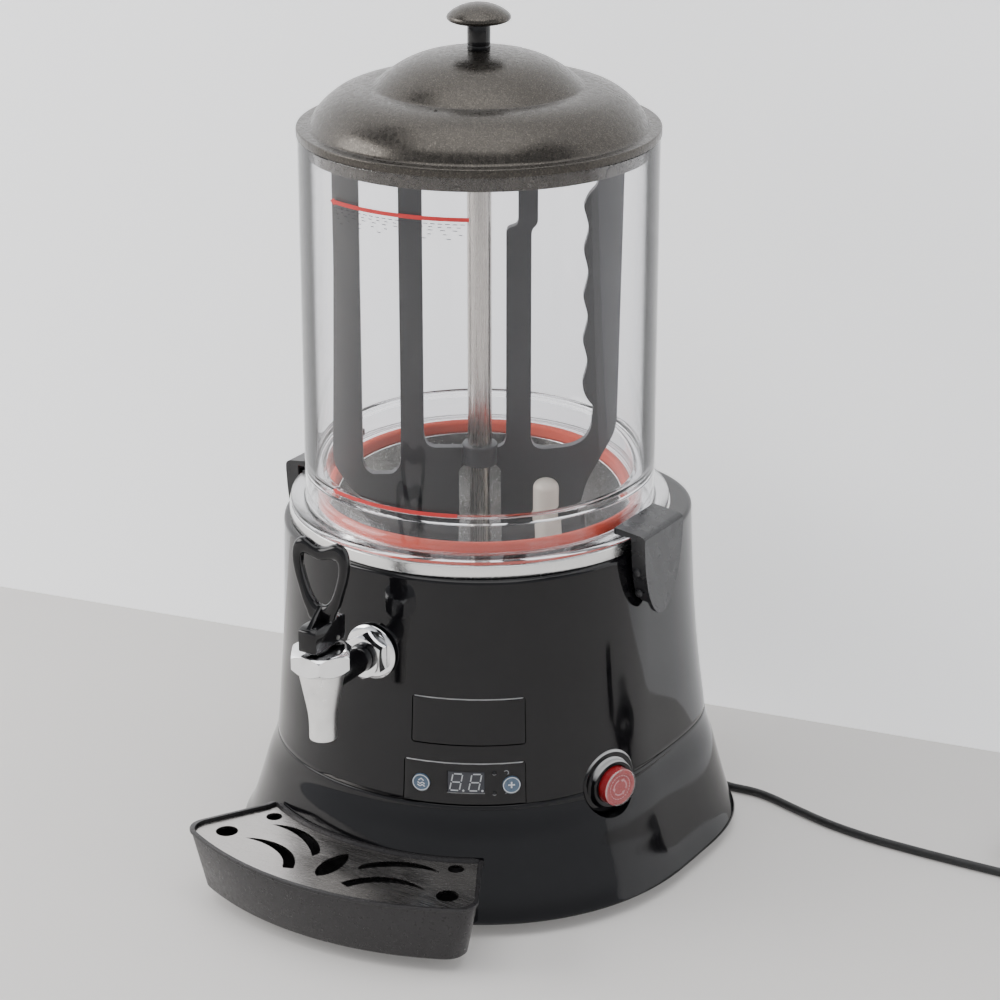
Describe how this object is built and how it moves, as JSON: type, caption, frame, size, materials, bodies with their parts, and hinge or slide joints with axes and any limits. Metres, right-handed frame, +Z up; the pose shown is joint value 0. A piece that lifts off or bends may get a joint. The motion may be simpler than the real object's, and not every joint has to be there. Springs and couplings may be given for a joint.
{
  "type": "hot chocolate dispenser",
  "caption": "Table-top hot drink dispenser with a clear bowl, turning stirrer, lever tap, drip tray, side latches and a control panel.",
  "frame": {"origin": "middle of the machine's footprint, its cord gland taken in and its cord left out, on the table", "axes": "+Z up, -Y towards the tap and tray, +X to the right seen from the front"},
  "size_m": [0.6739, 0.4292, 0.58],
  "materials": {
    "gloss_black": "deep gloss with soft reflections",
    "satin_black": "satin moulded",
    "smoke_grey": "satin moulded",
    "clear": "clear with a faint blue edge",
    "bronze_grey": "fine textured satin metallic",
    "tray_grey": "satin metallic",
    "brushed_steel": "brushed",
    "cream_white": "satin moulded",
    "satin_silver": "satin",
    "chrome": "polished",
    "gasket_red": "smooth",
    "black_rubber": "matte",
    "button_blue": "smooth with a light ring",
    "signal_red": "translucent",
    "board_green": "lacquered",
    "motor_grey": "satin"
  },
  "bodies": {
    "machine": {"lower_shell": "gloss_black", "upper_shell": "gloss_black", "base_pan": "satin_black", "foot_1": "black_rubber", "foot_2": "black_rubber", "foot_3": "black_rubber", "foot_4": "black_rubber", "foot_screw_1": "brushed_steel", "foot_screw_2": "brushed_steel", "foot_screw_3": "brushed_steel", "foot_screw_4": "brushed_steel", "heated_tank": "brushed_steel", "water_jacket": "brushed_steel", "heating_element": "brushed_steel", "standpipe": "brushed_steel", "tank_gasket": "gasket_red", "bowl": "clear", "gearbox": "motor_grey", "motor": "motor_grey", "tap_stem": "gloss_black", "tap_escutcheon": "chrome", "tap_nut": "chrome", "tap_body": "satin_silver", "tap_bonnet": "chrome", "display_panel": "gloss_black", "display_board": "board_green", "label_plate": "gloss_black", "stop_bezel": "gloss_black", "stop_nut": "satin_black", "stop_contact_block": "satin_black", "latch_bracket_right": "satin_black", "latch_bracket_left": "satin_black", "latch_pin_right": "brushed_steel", "latch_pin_left": "brushed_steel", "control_board": "board_green", "cord_gland": "black_rubber", "power_cord": "black_rubber", "cord_coil": "black_rubber", "cord_plug": "black_rubber", "cord_tie": "satin_black"},
    "lid": {"lid": "bronze_grey", "lid_stem": "gloss_black", "lid_knob": "bronze_grey", "lid_screw": "brushed_steel"},
    "stirrer": {"stirrer_frame": "smoke_grey", "stirrer_sleeve": "brushed_steel", "stirrer_peg": "cream_white", "drive_shaft": "brushed_steel"},
    "tap_lever": {"tap_handle": "gloss_black", "tap_pin": "brushed_steel"},
    "tap_valve": {"tap_plunger": "brushed_steel", "tap_seat": "black_rubber"},
    "left_key": {"button_left": "button_blue"},
    "right_key": {"button_right": "button_blue"},
    "stop_key": {"stop_button": "signal_red", "stop_lens": "clear"},
    "right_latch": {"latch_right": "satin_black"},
    "left_latch": {"latch_left": "satin_black"},
    "tray": {"drip_tray": "tray_grey"},
    "grille": {"drip_grille": "brushed_steel"}
  },
  "joints": [
    {"name": "lid_lift", "type": "slide", "parent": "machine", "child": "lid", "axis": [0, 0, 1], "range_m": [0, 0.12]},
    {"name": "stirrer_spin", "type": "hinge", "parent": "machine", "child": "stirrer", "pos_m": [0, 0.029, 0.27], "axis": [0, 0, 1], "continuous": true},
    {"name": "tap_lever_tip", "type": "hinge", "parent": "machine", "child": "tap_lever", "pos_m": [0, -0.177, 0.2065], "axis": [1, 0, 0], "range_deg": [0, 19]},
    {"name": "tap_valve_lift", "type": "slide", "parent": "machine", "child": "tap_valve", "axis": [0, 0, 1], "range_m": [0, 0.0076], "stiffness_N_per_m": 40},
    {"name": "left_key_press", "type": "slide", "parent": "machine", "child": "left_key", "axis": [-0.2689, 0.9632, 0], "range_m": [0, 0.001], "stiffness_N_per_m": 400},
    {"name": "right_key_press", "type": "slide", "parent": "machine", "child": "right_key", "axis": [-0.6428, 0.766, 0], "range_m": [0, 0.001], "stiffness_N_per_m": 400},
    {"name": "stop_press", "type": "slide", "parent": "machine", "child": "stop_key", "axis": [-0.9397, 0.342, 0], "range_m": [0, 0.004], "stiffness_N_per_m": 600},
    {"name": "right_latch_open", "type": "hinge", "parent": "machine", "child": "right_latch", "pos_m": [0.1343, 0.029, 0.2106], "axis": [0, 1, 0], "range_deg": [0, 20]},
    {"name": "left_latch_open", "type": "hinge", "parent": "machine", "child": "left_latch", "pos_m": [-0.1343, 0.029, 0.2106], "axis": [0, -1, 0], "range_deg": [0, 20]},
    {"name": "tray_pull", "type": "slide", "parent": "machine", "child": "tray", "axis": [0, -1, 0], "range_m": [0, 0.06]},
    {"name": "grille_lift", "type": "slide", "parent": "tray", "child": "grille", "axis": [0, 0, 1], "range_m": [0, 0.04]}
  ],
  "couplings": [
    {"joint": "tap_lever_tip", "follows": "tap_valve_lift", "rad_per_m": 41.15}
  ]
}
